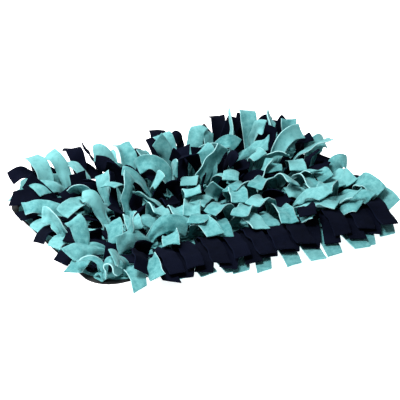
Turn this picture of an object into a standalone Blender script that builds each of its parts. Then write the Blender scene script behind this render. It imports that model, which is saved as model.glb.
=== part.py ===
"""Snuffle mat: a thin flat base sheet with rows of fleece strips knotted to it.

Every strip is tied once round the base, so each knot sends one tail forwards and
one tail backwards. A row of knots with its tails is one solid. Lengths are in
metres and angles in degrees, +X runs along the mat's long side, +Y across it and
+Z up. The origin is the middle of the base's underside.
"""

import math
import random
from typing import NamedTuple

import bmesh
import bpy
import numpy
from mathutils import Matrix, Quaternion, Vector
from mathutils.bvhtree import BVHTree

MM = 0.001

# The base sheet: 18 x 12 inches with rounded corners.
BASE_LENGTH = 457 * MM
BASE_WIDTH = 305 * MM
BASE_THICKNESS = 3 * MM
BASE_CORNER = 38 * MM
# The fleece that faces the base makes up the top of its thickness. It stops short of the
# black edge, and is cut rounder than the base at the corners.
FACING_THICKNESS = 1 * MM
FACING_INSET = 2 * MM
FACING_CORNER = 62 * MM
CORNER_STEPS = 7

# The grid of knots.
ROWS = 10
KNOTS = 14
ROW_PITCH = 30 * MM
KNOT_PITCH = 32 * MM

# The narrow band of tied cloth that joins the knots of a row.
PIECE_GAP = 0.3 * MM
BAND_WIDTH = 9 * MM
BAND_THICKNESS = 2 * MM
BAND_OVERHANG = 4 * MM
KNOT_LENGTH = 12 * MM
KNOT_HEIGHT = 4 * MM

# The tails of the strips.
TAIL_WIDTH = 20 * MM
TAIL_THICKNESS = 1.8 * MM
SECTIONS = (0.12, 0.3, 0.52, 0.76, 1.0)
SECTION_WIDTHS = (0.62, 0.94, 1.0, 1.0, 1.0)
SECTION_THICKNESSES = (1.5, 1.0, 1.0, 1.0, 1.0)
BEND_PLACE = 0.35
SLOPE_STEP = 0.04

# How tails lie against each other, the base and the floor. Within EDGE_FALL past the
# base's edge they sink to the floor, and under LEVEL_HEIGHT they lose their roll.
TAIL_CLEARANCE = 0.8 * MM
GROUND_CLEARANCE = 0.5 * MM
EDGE_CLEARANCE = 2 * MM
EDGE_FALL = 16 * MM
LEVEL_HEIGHT = 12 * MM
MOST_ASIDE = 248 * MM

# How a tail is found room: the heights over the ground at which one whose end is lower
# than LOW_HEIGHT is tried, how often a tail is tried, after how many tries it may take
# up another one, and how many may be taken up in all.
LOW_HEIGHT = 16
LAYERS = tuple(layer * MM for layer in (0.7, 4.2, 7.7, 11.2))
TRIES = 240
TRIES_KEPT_CLEAR = 60
MOST_TAKEN_UP = 90
SEED = 21

# The fringe over the front edge, whose layers lie one over another. The front row's
# front tails are the first, and each row and side above it lies further out. Lengths
# are in millimetres, here and below, and angles in degrees.
FRINGE_FROM = 3
FRINGE_AZIMUTH, FRINGE_AZIMUTH_STRAY = -101.5, 2.5
FRINGE_REACH, FRINGE_REACH_STRAY = 79, 3
FRINGE_HEIGHT, FRINGE_ARCH = 3, 14
LAYER_HEIGHT, LAYER_ARCH = 8.5, 12
ROW_TURN, SIDE_TURN = -12, 11
ROW_REACH, SIDE_REACH = 20, -4

# The crown that the pile's other tails lean away from, seen from above, how far each
# row's tails come out, how far past the base they hang, and how much they differ.
CROWN_X, CROWN_Y, CROWN_DEPTH = 10, 50, 78
LEAN_ACROSS = 1.5
PARTING = 20
LEAN_STRAY_ALONG, LEAN_STRAY_ACROSS = 26, 22
ROW_LENGTHS = (60, 66, 70, 40, 72, 44, 72, 58, 68, 60)
LENGTH_STRAY = 6
OVERHANG = 10
LEAST_REACH, MOST_RISE = 12, 58
FOOT, DROOP = 9, 10
LEAST_BULGE, MOST_BULGE = 8, 24
ROLL_STRAY, TWIST_STRAY = 25, 15

# How far a tail strays from what is wanted by the last try to find it room, the least
# that some of its sizes may come to, and the most that they shrink by.
STRAYS = {"azimuth": 60, "reach": 16, "height": 20, "arch": 14, "roll": 80, "twist": 30}
LEAST = {"reach": 5, "height": 6, "arch": 15}
MOST_SHRINK = 0.65

# The shares of its reach that a tail which found no room is bunched up to, in turn.
BUNCHED_SHARES = (0.75, 0.55, 0.4, 0.3, 0.2)

FORWARDS, BACKWARDS = -1, 1
LAST_ROW = ROWS - 1
LAST_KNOT = KNOTS - 1

COLOURS = {
    "aqua": (0.23, 0.63, 0.64),
    "navy": (0.012, 0.016, 0.045),
    "black": (0.008, 0.008, 0.009),
}


class Tail(NamedTuple):
    """One tail of a knotted strip. Its cut end is placed from its knot.

    row, knot and side say which tail it is. azimuth is the way it leans, from +X
    towards +Y, and reach how far that takes its end from the knot, seen from above.
    height is that of its end over the floor, and arch that of the point it bends
    towards on its way. roll turns the cloth about its own length at the knot, and
    twist adds to that by the end. Lengths are in millimetres here, angles in degrees.
    """

    row: int
    knot: int
    side: int
    azimuth: float
    reach: float
    height: float
    arch: float
    roll: float = 0
    twist: float = 0


# The tails that stand out from the rest, from the front row to the back row.
SHOWN_TAILS = (
    Tail(0, 0, BACKWARDS, 160, 34, 30, 38, 30),
    Tail(0, 0, FORWARDS, -55, 18, 6, 60),
    Tail(0, 1, FORWARDS, -85, 48, 3, 26),
    Tail(0, 2, FORWARDS, -95, 60, 10, 38, 50),
    Tail(0, 3, FORWARDS, -101, 46, 3, 16),
    Tail(0, 4, FORWARDS, -101, 50, 3, 16),
    Tail(0, 5, FORWARDS, -101, 58, 3, 16),
    Tail(0, 6, FORWARDS, -101, 66, 3, 15),
    Tail(0, 13, FORWARDS, -101, 62, 3, 16),
    Tail(1, 0, FORWARDS, -60, 34, 10, 24),
    Tail(1, 0, BACKWARDS, -20, 24, 14, 22),
    Tail(1, 1, FORWARDS, -80, 50, 8, 26),
    Tail(1, 1, BACKWARDS, -130, 26, 16, 24),
    Tail(1, 2, FORWARDS, -100, 78, 6, 42),
    Tail(1, 2, BACKWARDS, -70, 40, 20, 30),
    Tail(1, 10, BACKWARDS, -115, 60, 38, 46, 20),
    Tail(2, 0, FORWARDS, -125, 45, 8, 30),
    Tail(2, 0, BACKWARDS, 105, 22, 56, 60, -40),
    Tail(2, 1, FORWARDS, -168, 66, 26, 38, -40),
    Tail(2, 2, BACKWARDS, 25, 14, 54, 60, -40),
    Tail(2, 3, FORWARDS, -140, 60, 26, 42),
    Tail(2, 3, BACKWARDS, -110, 54, 38, 52),
    Tail(2, 4, FORWARDS, -99, 74, 22, 38),
    Tail(2, 4, BACKWARDS, -125, 66, 32, 46),
    Tail(2, 5, FORWARDS, -85, 66, 30, 46, 20),
    Tail(2, 6, FORWARDS, -105, 68, 30, 44),
    Tail(2, 6, BACKWARDS, -140, 62, 42, 54),
    Tail(2, 7, FORWARDS, -92, 76, 27, 42),
    Tail(2, 7, BACKWARDS, -150, 60, 46, 58),
    Tail(2, 8, FORWARDS, -90, 84, 24, 40),
    Tail(2, 8, BACKWARDS, -145, 70, 42, 54),
    Tail(2, 9, FORWARDS, -100, 78, 28, 44),
    Tail(2, 9, BACKWARDS, -150, 62, 44, 56),
    Tail(2, 10, FORWARDS, -85, 72, 30, 44),
    Tail(2, 10, BACKWARDS, -65, 58, 44, 56, 30),
    Tail(2, 11, FORWARDS, -80, 86, 22, 40),
    Tail(2, 11, BACKWARDS, -140, 64, 38, 52),
    Tail(2, 12, FORWARDS, -70, 76, 24, 42, 20),
    Tail(2, 12, BACKWARDS, -135, 56, 44, 56),
    Tail(2, 13, FORWARDS, -72, 72, 18, 38, 40),
    Tail(2, 13, BACKWARDS, -88, 62, 32, 48),
    Tail(3, 0, FORWARDS, -140, 42, 6, 22),
    Tail(3, 1, FORWARDS, -100, 30, 16, 24),
    Tail(3, 2, FORWARDS, -75, 30, 16, 24),
    Tail(3, 13, FORWARDS, -60, 66, 12, 36, 30),
    Tail(4, 0, FORWARDS, -160, 32, 6, 18),
    Tail(4, 0, BACKWARDS, 125, 36, 34, 50, -60),
    Tail(4, 2, FORWARDS, -120, 56, 14, 50),
    Tail(4, 3, FORWARDS, -112, 60, 20, 44),
    Tail(4, 4, FORWARDS, -128, 58, 26, 46),
    Tail(4, 2, BACKWARDS, 130, 38, 50, 70, -30),
    Tail(4, 3, BACKWARDS, 60, 28, 70, 76, 60),
    Tail(4, 5, FORWARDS, -100, 62, 22, 44),
    Tail(4, 5, BACKWARDS, -126, 64, 30, 46, -10),
    Tail(4, 6, FORWARDS, -128, 62, 28, 46),
    Tail(4, 6, BACKWARDS, -100, 46, 50, 64, 30),
    Tail(4, 7, FORWARDS, -140, 62, 40, 52),
    Tail(4, 8, FORWARDS, -110, 66, 40, 52),
    Tail(4, 9, FORWARDS, -150, 64, 40, 52),
    Tail(4, 10, FORWARDS, -150, 62, 42, 54),
    Tail(4, 10, BACKWARDS, -90, 60, 50, 62),
    Tail(4, 11, FORWARDS, -120, 70, 36, 50),
    Tail(4, 11, BACKWARDS, -75, 60, 46, 58, 30),
    Tail(4, 12, FORWARDS, -100, 74, 32, 48),
    Tail(4, 12, BACKWARDS, -130, 64, 48, 60),
    Tail(4, 13, FORWARDS, -60, 76, 20, 40, 35),
    Tail(4, 13, BACKWARDS, 5, 30, 30, 50, 40),
    Tail(5, 0, FORWARDS, -163, 62, 26, 38, 0),
    Tail(5, 1, FORWARDS, -142, 70, 8, 42),
    Tail(6, 0, FORWARDS, -165, 31, 7, 18),
    Tail(6, 1, FORWARDS, 155, 63, 26, 40, -30),
    Tail(6, 2, FORWARDS, -155, 60, 30, 48, -15),
    Tail(6, 4, FORWARDS, -165, 45, 50, 64, 10),
    Tail(6, 5, FORWARDS, -102, 42, 54, 66, 60),
    Tail(6, 6, FORWARDS, -107, 36, 64, 72, 85),
    Tail(6, 6, BACKWARDS, 145, 48, 48, 78, -45),
    Tail(6, 7, FORWARDS, -125, 56, 44, 58, 10),
    Tail(6, 9, FORWARDS, -122, 60, 40, 54, -10),
    Tail(6, 8, BACKWARDS, 95, 22, 58, 72, -30),
    Tail(6, 10, BACKWARDS, -90, 28, 50, 64, 30),
    Tail(6, 11, FORWARDS, -118, 60, 40, 54, 15),
    Tail(6, 12, FORWARDS, -110, 62, 34, 50),
    Tail(6, 11, BACKWARDS, 5, 54, 62, 74, 50),
    Tail(6, 13, BACKWARDS, 30, 34, 26, 62, 40),
    Tail(7, 0, FORWARDS, -168, 30, 7, 18),
    Tail(7, 1, FORWARDS, 150, 68, 26, 38, -35),
    Tail(7, 3, FORWARDS, -175, 62, 26, 44, -35),
    Tail(7, 4, FORWARDS, 150, 22, 56, 62, 60),
    Tail(7, 4, BACKWARDS, 140, 60, 50, 66, -40),
    Tail(7, 6, FORWARDS, -163, 50, 48, 64, -30),
    Tail(7, 8, FORWARDS, -160, 43, 56, 72, 30),
    Tail(7, 9, FORWARDS, -137, 54, 46, 62, 10),
    Tail(7, 10, FORWARDS, -113, 62, 38, 56, 0),
    Tail(7, 12, BACKWARDS, -98, 22, 50, 60, 0),
    Tail(7, 13, BACKWARDS, -104, 36, 50, 64, 30),
    Tail(8, 0, FORWARDS, 145, 36, 10, 62, -20),
    Tail(8, 0, BACKWARDS, 110, 50, 40, 52, -30),
    Tail(8, 1, BACKWARDS, 95, 54, 58, 66, 0),
    Tail(8, 2, FORWARDS, -170, 62, 38, 50, -30),
    Tail(8, 2, BACKWARDS, 100, 50, 58, 66, -20),
    Tail(8, 3, FORWARDS, 140, 52, 46, 56, 30),
    Tail(8, 4, FORWARDS, 170, 45, 52, 68, -40),
    Tail(8, 4, BACKWARDS, 20, 47, 53, 64, -60),
    Tail(8, 5, BACKWARDS, 83, 50, 50, 62, 0),
    Tail(8, 7, BACKWARDS, 92, 36, 60, 74, -35, 20),
    Tail(8, 8, BACKWARDS, 42, 38, 64, 74, 25, -20),
    Tail(8, 9, FORWARDS, -32, 36, 46, 68, 40),
    Tail(8, 9, BACKWARDS, 70, 30, 68, 76, 30),
    Tail(8, 10, BACKWARDS, 66, 36, 70, 78, 85),
    Tail(8, 11, FORWARDS, -70, 25, 64, 74, 60),
    Tail(8, 11, BACKWARDS, 70, 36, 70, 78, 0),
    Tail(8, 12, BACKWARDS, 60, 48, 50, 64, 60),
    Tail(8, 13, BACKWARDS, 60, 14, 54, 64, 0),
    Tail(9, 1, BACKWARDS, -175, 50, 42, 62, -20),
    Tail(9, 2, FORWARDS, -160, 52, 45, 60, -20),
    Tail(9, 3, BACKWARDS, 85, 50, 44, 62, 0),
    Tail(9, 5, BACKWARDS, 0, 42, 34, 84, 40),
    Tail(9, 7, BACKWARDS, 72, 48, 46, 60, 0),
    Tail(9, 8, BACKWARDS, 130, 18, 48, 66, 0),
    Tail(9, 9, BACKWARDS, 40, 28, 42, 60, 40),
    Tail(9, 10, BACKWARDS, 70, 48, 50, 64, 0),
    Tail(9, 11, BACKWARDS, 50, 44, 52, 64, 10),
    Tail(9, 12, BACKWARDS, 10, 30, 42, 66, 40),
    Tail(9, 13, BACKWARDS, 75, 22, 20, 64, 0),
)


def row_colour(row):
    """The strips of alternate rows are cut from aqua and from navy fleece."""
    return "aqua" if row % 2 == 0 else "navy"


def knot_place(row, knot):
    """The middle of a knot's top face."""
    return Vector((
        (knot - LAST_KNOT / 2) * KNOT_PITCH,
        (row - LAST_ROW / 2) * ROW_PITCH,
        BASE_THICKNESS + PIECE_GAP + BAND_THICKNESS + KNOT_HEIGHT,
    ))


def distance_past_edge(x, y):
    """How far a point lies outside the base's rounded outline, seen from above."""
    along = max(abs(x) - (BASE_LENGTH / 2 - BASE_CORNER), 0)
    across = max(abs(y) - (BASE_WIDTH / 2 - BASE_CORNER), 0)
    return math.hypot(along, across) - BASE_CORNER


def ground_height(x, y):
    """What a tail can lie on: the base, then a short fall to the floor past its edge."""
    fall = min(max((distance_past_edge(x, y) - EDGE_CLEARANCE) / EDGE_FALL, 0), 1)
    return (BASE_THICKNESS + EDGE_CLEARANCE) * (1 - fall * fall * (3 - 2 * fall))


def point_on_tail(tail, share, layer):
    """A point on a tail's middle line: on its curve, or lying on what is under it."""
    start = knot_place(tail.row, tail.knot) + Vector((0, tail.side * BAND_WIDTH / 4, 0))
    azimuth = math.radians(tail.azimuth)
    lean = Vector((math.cos(azimuth), math.sin(azimuth), 0)) * tail.reach * MM
    bend = start + lean * BEND_PLACE
    bend.z = tail.arch * MM
    end = start + lean
    end.z = tail.height * MM
    point = start.lerp(bend, share).lerp(bend.lerp(end, share), share)
    lowest = ground_height(point.x, point.y) + TAIL_THICKNESS / 2 + layer
    point.z = max(point.z, lowest)
    return point, point.z - lowest


def tail_sections(tail, layer, extra=0.0):
    """The four corners of each section of a tail, from the knot to the cut end."""
    azimuth = math.radians(tail.azimuth)
    level = Vector((-math.sin(azimuth), math.cos(azimuth), 0))
    rings = []
    for share, width, thickness in zip(SECTIONS, SECTION_WIDTHS, SECTION_THICKNESSES):
        middle, over_ground = point_on_tail(tail, share, layer)
        behind = point_on_tail(tail, share - SLOPE_STEP, layer)[0]
        before = point_on_tail(tail, min(share + SLOPE_STEP, 1), layer)[0]
        ahead = (before - behind).normalized()
        turn = math.radians(tail.roll + tail.twist * share) * min(over_ground / LEVEL_HEIGHT, 1)
        across = Quaternion(ahead, turn) @ level
        facing = ahead.cross(across).normalized()
        half_width = across * (width * TAIL_WIDTH / 2 + extra)
        half_thickness = facing * (thickness * TAIL_THICKNESS / 2 + extra)
        rings.append([
            middle - half_width - half_thickness,
            middle + half_width - half_thickness,
            middle + half_width + half_thickness,
            middle - half_width + half_thickness,
        ])
    return rings


def root_ring(tail):
    """The corners of the half of a knot's top face that a tail grows from."""
    top = knot_place(tail.row, tail.knot)
    half = KNOT_LENGTH / 2
    near, far = sorted((0, tail.side * BAND_WIDTH / 2))
    return [
        top + Vector(corner)
        for corner in ((-half, near, 0), (half, near, 0), (half, far, 0), (-half, far, 0))
    ]


def least_twisted(rings, root):
    """The rings again, all started at the corner that twists the first stretch least."""
    def strain(k):
        return sum((rings[0][(i + k) % 4] - root[i]).length_squared for i in range(4))

    k = min(range(4), key=strain)
    return [ring[k:] + ring[:k] for ring in rings]


def box_rings(low, high):
    """A box as two rings, its underside and its top."""
    return [
        [
            Vector((low[0], low[1], z)),
            Vector((high[0], low[1], z)),
            Vector((high[0], high[1], z)),
            Vector((low[0], high[1], z)),
        ]
        for z in (low[2], high[2])
    ]


class Hull:
    """A closed surface through a list of rings, with its extents, to test for clashes."""

    def __init__(self, rings):
        points = [corner for ring in rings for corner in ring]
        places = numpy.array(points)
        self.low = places.min(axis=0)
        self.high = places.max(axis=0)
        size = len(rings[0])
        faces = [tuple(range(size)), tuple(range(len(points) - size, len(points)))]
        for k in range(0, len(points) - size, size):
            for i in range(size):
                j = (i + 1) % size
                faces.append((k + i, k + j, k + size + j, k + size + i))
        self.tree = BVHTree.FromPolygons(points, faces)

    def clashes(self, other):
        """Whether the two surfaces cut each other."""
        return bool(self.tree.overlap(other.tree))


def base_outline():
    """The rounded outline of the base, anticlockwise from the right end of the front."""
    points = []
    for quarter, (x, y) in enumerate(((1, -1), (1, 1), (-1, 1), (-1, -1))):
        middle_x = x * (BASE_LENGTH / 2 - BASE_CORNER)
        middle_y = y * (BASE_WIDTH / 2 - BASE_CORNER)
        for step in range(CORNER_STEPS + 1):
            angle = math.radians(90 * (quarter - 1 + step / CORNER_STEPS))
            points.append((
                middle_x + BASE_CORNER * math.cos(angle),
                middle_y + BASE_CORNER * math.sin(angle),
            ))
    return points


class Pile:
    """The tails laid so far, each clear of the base, the bands and every other tail."""

    def __init__(self):
        self.laid = {}
        self.free = {}
        self.settled = set()
        self.hulls = {}
        self.numbers = {}
        places = ROWS * (2 + 3 * KNOTS)
        self.lows = numpy.full((places, 3), math.inf)
        self.highs = numpy.full((places, 3), -math.inf)
        outline = base_outline()
        top = BASE_THICKNESS + GROUND_CLEARANCE
        self.add(("base",), Hull([[Vector((x, y, z)) for x, y in outline] for z in (-top, top)]))
        reach = TAIL_CLEARANCE / 2
        for row in range(ROWS):
            for knot in range(KNOTS):
                x, y, z = knot_place(row, knot)
                half, deep = KNOT_LENGTH / 2 + reach, BAND_WIDTH / 2 + reach
                low, high = (x - half, y - deep, 0), (x + half, y + deep, z + reach)
                self.add((row, knot), Hull(box_rings(low, high)))
            first, last = knot_place(row, 0), knot_place(row, LAST_KNOT)
            end = KNOT_LENGTH / 2 + BAND_OVERHANG + reach
            low = (first.x - end, first.y - BAND_WIDTH / 2 - reach, 0)
            high = (last.x + end, last.y + BAND_WIDTH / 2 + reach, last.z - KNOT_HEIGHT + reach)
            self.add((row,), Hull(box_rings(low, high)))

    def add(self, key, hull):
        """Puts a hull in the pile."""
        number = self.numbers.setdefault(key, len(self.numbers))
        self.hulls[key] = hull
        self.lows[number] = hull.low
        self.highs[number] = hull.high

    def take_up(self, place):
        """Takes a tail out of the pile."""
        number = self.numbers[place]
        self.lows[number] = math.inf
        self.highs[number] = -math.inf
        del self.laid[place], self.hulls[place], self.free[place]

    def near(self, hull):
        """What is close enough to a hull to touch it."""
        close = (self.lows <= hull.high).all(axis=1) & (self.highs >= hull.low).all(axis=1)
        return [key for key, number in self.numbers.items() if close[number]]

    def in_the_way(self, tail, whole, free):
        """The tails that a tail would touch, or None if nothing could make room for it."""
        own = (tail.row, tail.knot)
        if whole.low[2] < 0 or max(-whole.low[0], whole.high[0]) > MOST_ASIDE:
            return None
        touched = []
        for key in self.near(whole):
            other = self.hulls[key]
            if len(key) < 3:
                if (free if len(key) == 1 or key == own else whole).clashes(other):
                    return None
            elif key[:2] == own:
                if free.clashes(other) or whole.clashes(self.free[key]):
                    touched.append(key)
            elif whole.clashes(other):
                touched.append(key)
        return touched

    def lay(self, tail, layer, taking_up=()):
        """Lays a tail, once those that may be taken up are, and says what is in its way."""
        root = root_ring(tail)
        swollen = least_twisted(tail_sections(tail, layer, TAIL_CLEARANCE / 2), root)
        free, whole = Hull(swollen), Hull([root] + swollen)
        touched = self.in_the_way(tail, whole, free)
        if touched is None or set(touched).difference(taking_up):
            return touched
        for place in touched:
            self.take_up(place)
        place = (tail.row, tail.knot, tail.side)
        self.laid[place] = least_twisted(tail_sections(tail, layer), root)
        self.add(place, whole)
        self.free[place] = free
        return []


def fringe_tail(row, knot, side, chance):
    """A tail of the two front rows, which lies out over the front edge to the floor."""
    behind = side == BACKWARDS
    azimuth = FRINGE_AZIMUTH + chance.uniform(-1, 1) * FRINGE_AZIMUTH_STRAY
    reach = FRINGE_REACH + chance.uniform(-1, 1) * FRINGE_REACH_STRAY
    return Tail(
        row,
        knot,
        side,
        azimuth=azimuth + ROW_TURN * row + SIDE_TURN * behind,
        reach=reach + ROW_REACH * row + SIDE_REACH * behind,
        height=FRINGE_HEIGHT + LAYER_HEIGHT * (row + behind),
        arch=FRINGE_ARCH + LAYER_ARCH * (row + behind),
    )


def usual_tail(row, knot, side, chance):
    """A tail that leans away from the pile's crown, further near the rim, and droops."""
    place = knot_place(row, knot)
    lean_x = place.x / MM - CROWN_X + chance.gauss(0, LEAN_STRAY_ALONG)
    lean_y = LEAN_ACROSS * (place.y / MM - CROWN_Y) + side * PARTING
    lean_y += chance.gauss(0, LEAN_STRAY_ACROSS)
    lean = math.hypot(lean_x, lean_y)
    length = chance.uniform(-LENGTH_STRAY, LENGTH_STRAY) + ROW_LENGTHS[row]
    reach = length * math.cos(math.atan2(CROWN_DEPTH, lean))
    end_x, end_y = (lean_x * reach / lean * MM, lean_y * reach / lean * MM)
    past = max(distance_past_edge(place.x + end_x, place.y + end_y) / MM - OVERHANG, 0)
    reach = max(reach - past, LEAST_REACH)
    rise = math.sqrt(length ** 2 - reach ** 2)
    return Tail(
        row,
        knot,
        side,
        azimuth=math.degrees(math.atan2(lean_y, lean_x)),
        reach=reach,
        height=FOOT + min(rise, MOST_RISE) - chance.uniform(0, DROOP) - past / 2,
        arch=FOOT + BEND_PLACE * rise + chance.uniform(LEAST_BULGE, MOST_BULGE),
        roll=chance.gauss(0, ROLL_STRAY),
        twist=chance.gauss(0, TWIST_STRAY),
    )


def varied(tail, share, chance):
    """The same tail leaned, turned and bunched up otherwise, more so at a high share."""
    shrink = 1 - MOST_SHRINK * share * chance.random()
    changed = {}
    for name, spread in STRAYS.items():
        value = getattr(tail, name)
        if name in LEAST:
            changed[name] = max(value * shrink + chance.gauss(0, spread * share), LEAST[name])
        else:
            changed[name] = value + chance.gauss(0, spread * share)
    return tail._replace(**changed)


def lay_somehow(pile, tail, chance, may_take_up=False):
    """Lays a tail as nearly as there is room for. It may take up one that isn't settled.

    Returns the tail that was taken up for it, in a list.
    """
    fallback = None
    for attempt in range(TRIES):
        wanted = varied(tail, attempt / TRIES, chance) if attempt else tail
        layers = LAYERS if wanted.height < LOW_HEIGHT else LAYERS[:1]
        for layer in layers:
            touched = pile.lay(wanted, layer)
            if touched == []:
                return []
            if fallback is None and touched and len(touched) == 1:
                if attempt > TRIES_KEPT_CLEAR and touched[0] not in pile.settled:
                    fallback = wanted, layer, touched
    if fallback and may_take_up:
        pile.lay(*fallback)
        return fallback[2]
    return []


def bunched_up(tail, share):
    """The same tail with its end drawn in towards the knot, to a share of its reach."""
    return tail._replace(
        reach=max(tail.reach * share, LEAST_REACH),
        height=FOOT + (tail.height - FOOT) * share,
        arch=FOOT + (tail.arch - FOOT) * share,
    )


def turn_to_lay(place):
    """Sorts tails: the aqua rows before the navy ones, and the mat's rim inwards."""
    row, knot, _ = place
    return row % 2, min(row, LAST_ROW - row, knot, LAST_KNOT - knot)


def laid_tails():
    """The rings of every tail that has found a place, by its row, knot and side."""
    chance = random.Random(SEED)
    pile = Pile()
    shown = {(tail.row, tail.knot, tail.side) for tail in SHOWN_TAILS}
    for row, side in ((0, FORWARDS), (1, FORWARDS), (1, BACKWARDS)):
        for knot in range(FRINGE_FROM, KNOTS):
            if (row, knot, side) not in shown:
                lay_somehow(pile, fringe_tail(row, knot, side, chance), chance)
    for tail in SHOWN_TAILS:
        lay_somehow(pile, tail, chance)
    pile.settled = set(pile.laid)
    places = [
        (row, knot, side)
        for row in range(ROWS)
        for knot in range(KNOTS)
        for side in (FORWARDS, BACKWARDS)
    ]
    waiting = sorted((place for place in places if place not in pile.laid), key=turn_to_lay)
    spare = MOST_TAKEN_UP
    while waiting:
        place = waiting.pop(0)
        taken_up = lay_somehow(pile, usual_tail(*place, chance), chance, spare > 0)
        spare -= len(taken_up)
        waiting.extend(taken_up)
    for share in BUNCHED_SHARES:
        for place in places:
            if place not in pile.laid:
                lay_somehow(pile, bunched_up(usual_tail(*place, chance), share), chance)
    return pile.laid


def make_object(name, bm, colour, collection):
    """Turns a bmesh into a named object with its material, in the mat's collection."""
    bmesh.ops.triangulate(bm, faces=bm.faces[:])
    bmesh.ops.recalc_face_normals(bm, faces=bm.faces[:])
    mesh = bpy.data.meshes.new(name)
    bm.to_mesh(mesh)
    bm.free()
    material = bpy.data.materials.get(colour) or bpy.data.materials.new(colour)
    material.use_nodes = True
    surface = material.node_tree.nodes["Principled BSDF"]
    surface.inputs["Base Color"].default_value = (*COLOURS[colour], 1.0)
    surface.inputs["Roughness"].default_value = 0.95
    mesh.materials.append(material)
    item = bpy.data.objects.new(name, mesh)
    collection.objects.link(item)
    return item


def box_mesh(low, high):
    """A bmesh of the box between two corners."""
    bm = bmesh.new()
    low, high = Vector(low), Vector(high)
    size = Matrix.Diagonal((*(high - low), 1))
    bmesh.ops.create_cube(bm, size=1, matrix=Matrix.Translation((low + high) / 2) @ size)
    return bm


def flat_sheet(inset, corner, low, high):
    """A thin box over the base, drawn in from its edges, with its upright edges rounded."""
    length, width = BASE_LENGTH / 2 - inset, BASE_WIDTH / 2 - inset
    bm = box_mesh((-length, -width, low), (length, width, high))
    thickness = high - low
    bmesh.ops.bevel(
        bm,
        geom=[
            edge
            for edge in bm.edges
            if abs(edge.verts[0].co.z - edge.verts[1].co.z) > thickness / 2
        ],
        offset=corner,
        segments=CORNER_STEPS,
        profile=0.5,
        affect="EDGES",
    )
    return bm


def base_sheet(collection):
    """The flat black base and the aqua fleece that faces it."""
    facing = BASE_THICKNESS - FACING_THICKNESS
    base = flat_sheet(0, BASE_CORNER, 0, facing - PIECE_GAP)
    make_object("base", base, "black", collection)
    cloth = flat_sheet(FACING_INSET, FACING_CORNER, facing, BASE_THICKNESS)
    make_object("facing", cloth, "aqua", collection)


def cut_across(bm, point, direction):
    """Cuts new edges round a mesh where a plane meets it."""
    geometry = bm.verts[:] + bm.edges[:] + bm.faces[:]
    bmesh.ops.bisect_plane(bm, geom=geometry, dist=1e-6, plane_co=point, plane_no=direction)


def band_with_knots(row):
    """The band of a row with its knots, and the root face of each tail on their tops."""
    first, last = knot_place(row, 0), knot_place(row, LAST_KNOT)
    end = Vector((KNOT_LENGTH / 2 + BAND_OVERHANG, BAND_WIDTH / 2, 0))
    under = Vector((0, 0, KNOT_HEIGHT + BAND_THICKNESS))
    bm = box_mesh(first - end - under, last + end - Vector((0, 0, KNOT_HEIGHT)))
    cut_across(bm, first, (0, 1, 0))
    for knot in range(KNOTS):
        middle = knot_place(row, knot)
        for side in (-1, 1):
            cut_across(bm, middle + Vector((side * KNOT_LENGTH / 2, 0, 0)), (1, 0, 0))
    roots = {}
    for knot in range(KNOTS):
        middle = knot_place(row, knot)
        tops = [
            face
            for face in bm.faces
            if face.normal.z > 0.9 and abs(face.calc_center_median().x - middle.x) < MM
        ]
        raised = bmesh.ops.extrude_face_region(bm, geom=tops)["geom"]
        verts = [item for item in raised if isinstance(item, bmesh.types.BMVert)]
        bmesh.ops.delete(bm, geom=tops, context="FACES_KEEP_BOUNDARY")
        bmesh.ops.translate(bm, verts=verts, vec=(0, 0, KNOT_HEIGHT))
        for face in raised:
            if isinstance(face, bmesh.types.BMFace):
                behind = face.calc_center_median().y > middle.y
                roots[row, knot, BACKWARDS if behind else FORWARDS] = face
    return bm, roots


def grow_tail(bm, face, rings):
    """Draws a tail out of its root face, section by section."""
    start = [vert.co.copy() for vert in face.verts]
    for ring in least_twisted(rings, start):
        face = bmesh.ops.extrude_discrete_faces(bm, faces=[face])["faces"][0]
        for vert, corner in zip(face.verts, ring):
            vert.co = corner


def strip_row(row, tails, collection):
    """One row of knotted strips: the band, its knots and the tails drawn out of them."""
    bm, roots = band_with_knots(row)
    for place, face in roots.items():
        if place in tails:
            grow_tail(bm, face, tails[place])
    return make_object(f"row_{row + 1:02d}_{row_colour(row)}", bm, row_colour(row), collection)


def main():
    """Builds the mat in a collection of its own."""
    for item in list(bpy.data.objects):
        bpy.data.objects.remove(item, do_unlink=True)
    collection = bpy.data.collections.new("snuffle_mat")
    bpy.context.scene.collection.children.link(collection)
    base_sheet(collection)
    tails = laid_tails()
    for row in range(ROWS):
        strip_row(row, tails, collection)


main()
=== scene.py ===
"""Dresses the snuffle mat: fleece strips knotted in rows to a fleece-faced rubber sheet.

Each row's solid is a band with fourteen knots, and each knot sends a tail forwards and a
tail backwards. The tails are read from the row's solid and cut again in cloth: flat
strips that are gathered at the knot, laid along the solid's own path and left soft and
uneven. Lengths are in metres and angles in degrees.
"""

import logging
import math
import random
from dataclasses import dataclass, field
from enum import Enum

import bmesh
import bpy
from mathutils import Matrix, Vector, noise

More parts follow.
